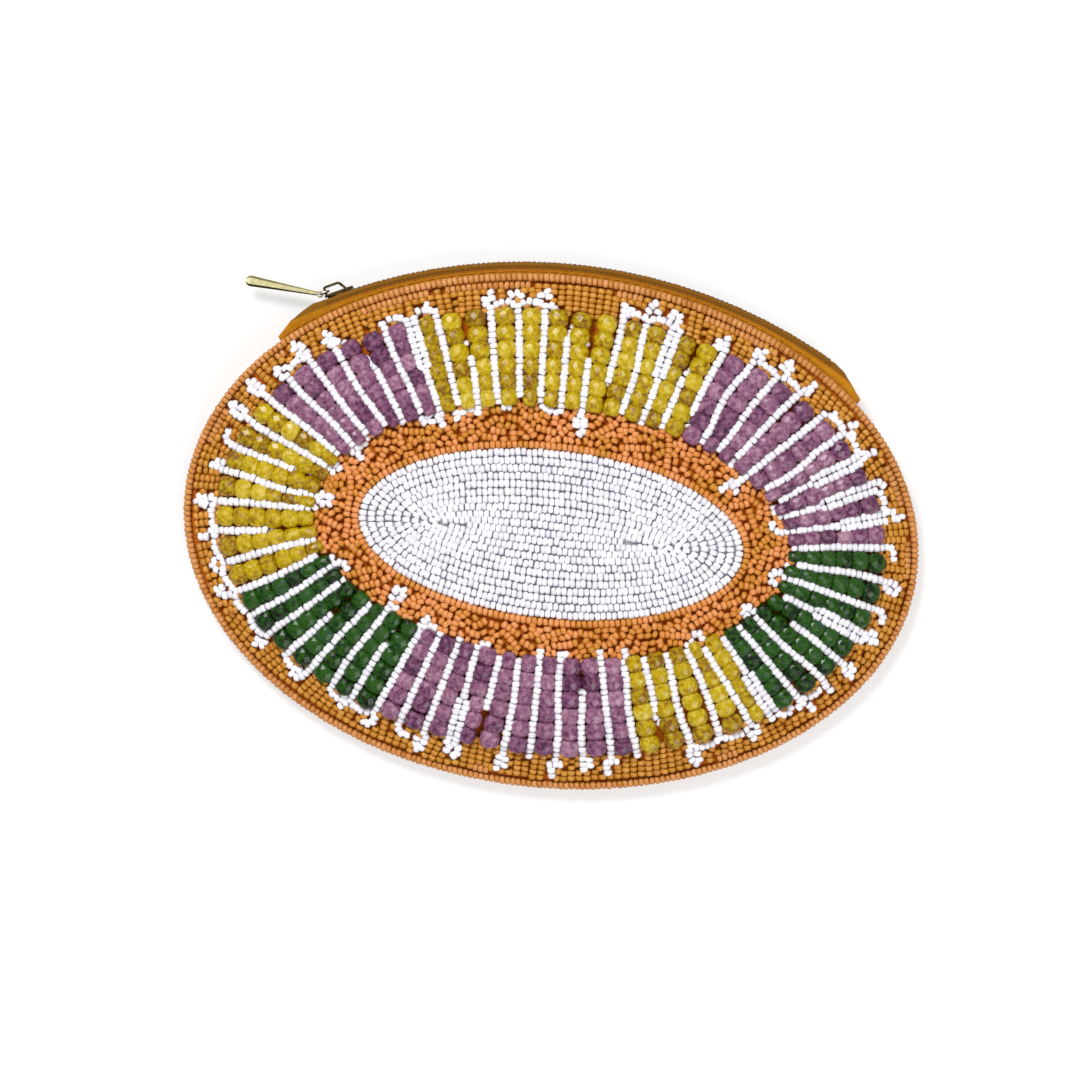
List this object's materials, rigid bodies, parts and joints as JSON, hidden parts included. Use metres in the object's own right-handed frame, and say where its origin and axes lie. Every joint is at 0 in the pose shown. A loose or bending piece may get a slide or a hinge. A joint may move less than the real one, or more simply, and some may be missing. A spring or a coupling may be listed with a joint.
{
  "type": "beaded oval zip pouch",
  "caption": "Flat oval zip pouch with a beaded face: a white oval ringed by rows of coloured crystals on an amber field, with a curved zip and a metal pull.",
  "frame": {"origin": "centre of the plain back, on the face that the pouch lies on", "axes": "+X along the oval, +Y towards the zip, +Z out of the beaded face"},
  "size_m": [0.19, 0.135, 0.0158],
  "materials": {
    "ochre_cloth": "woven, matt",
    "rust_cloth": "woven, matt",
    "lining_cloth": "plain weave, slight sheen",
    "ochre_tape": "woven zip tape",
    "coil_nylon": "satin nylon coil",
    "pale_brass": "polished",
    "purple_crystal": "faceted glass",
    "yellow_crystal": "faceted glass",
    "green_crystal": "faceted glass",
    "white_bead": "opaque glass seed beads",
    "peach_bead": "opaque glass seed beads",
    "amber_bead": "opaque glass seed beads"
  },
  "bodies": {
    "pouch": {"back_panel": "ochre_cloth", "front_panel": "rust_cloth", "back_lining": "lining_cloth", "front_lining": "lining_cloth", "zip_tape_front": "ochre_tape", "zip_tape_back": "ochre_tape", "zip_coil_front": "coil_nylon", "zip_coil_back": "coil_nylon", "zip_tack_left": "ochre_tape", "zip_tack_right": "ochre_tape", "gusset_left": "ochre_cloth", "gusset_right": "ochre_cloth", "crystals_purple_right": "purple_crystal", "crystals_yellow_top": "yellow_crystal", "crystals_purple_top_left": "purple_crystal", "crystals_yellow_left": "yellow_crystal", "crystals_green_bottom_left": "green_crystal", "crystals_purple_bottom": "purple_crystal", "crystals_yellow_bottom_right": "yellow_crystal", "crystals_green_right": "green_crystal", "white_divider_strand": "white_bead", "edge_bead_row": "peach_bead", "outer_bead_field": "amber_bead", "inner_bead_field": "peach_bead", "white_oval": "white_bead"},
    "slider": {"slider_body": "pale_brass"},
    "ring": {"pull_ring": "pale_brass"},
    "tab": {"pull_tab": "pale_brass"}
  },
  "joints": [
    {"name": "slider_travel", "type": "hinge", "parent": "pouch", "child": "slider", "pos_m": [0, -0.06925, 0.005], "axis": [0, 0, 1], "range_deg": [-53, 0], "deforming": ["zip_coil_front", "zip_coil_back"]},
    {"name": "ring_swing", "type": "hinge", "parent": "slider", "child": "ring", "pos_m": [-0.0646, 0.05511, 0.005], "axis": [0, 0, 1], "range_deg": [-28, 15]},
    {"name": "tab_swing", "type": "hinge", "parent": "ring", "child": "tab", "pos_m": [-0.06597, 0.05444, 0.005], "axis": [0, 0, 1], "range_deg": [-45, 15]}
  ]
}
